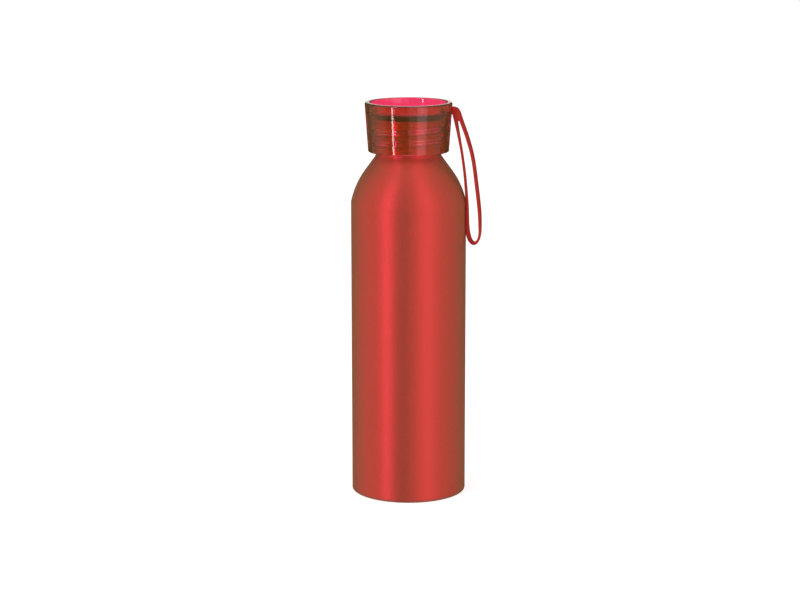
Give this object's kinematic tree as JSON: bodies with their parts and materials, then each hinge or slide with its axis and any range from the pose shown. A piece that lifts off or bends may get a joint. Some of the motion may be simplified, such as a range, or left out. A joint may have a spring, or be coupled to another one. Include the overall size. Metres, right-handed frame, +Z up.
{
  "type": "drinking bottle",
  "caption": "Slim aluminium drinking bottle with a domed base, a sloping shoulder, a clear tapered screw lid with a cup top, and a silicone carry strap.",
  "frame": {"origin": "on the bottle's axis, in the plane of the ring it stands on", "axes": "+Z up along the bottle's axis; the strap hangs on the +X side, in the XZ plane"},
  "size_m": [0.0754, 0.066, 0.2272],
  "materials": {
    "red_aluminium": "satin red anodised, fine grain",
    "gasket_silicone": "matt",
    "clear_red_plastic": "polished, clear, tinted",
    "strap_silicone": "matt"
  },
  "bodies": {
    "bottle": {"bottle_shell": "red_aluminium"},
    "seal": {"lid_gasket": "gasket_silicone"},
    "lid": {"lid": "clear_red_plastic", "strap_button": "strap_silicone"},
    "strap": {"strap_loop": "strap_silicone"}
  },
  "joints": [
    {"name": "lid_lift", "type": "slide", "parent": "bottle", "child": "seal", "axis": [0, 0, 1], "range_m": [0, 0.0186]},
    {"name": "lid_turn", "type": "hinge", "parent": "seal", "child": "lid", "pos_m": [0, 0, 0.21], "axis": [0, 0, 1], "range_deg": [0, 1080]},
    {"name": "strap_swing", "type": "hinge", "parent": "lid", "child": "strap", "pos_m": [0.02749, 0, 0.22346], "axis": [0, -1, 0], "range_deg": [0, 150]}
  ],
  "couplings": [
    {"joint": "lid_lift", "follows": "lid_turn", "m_per_rad": 0.000986}
  ]
}
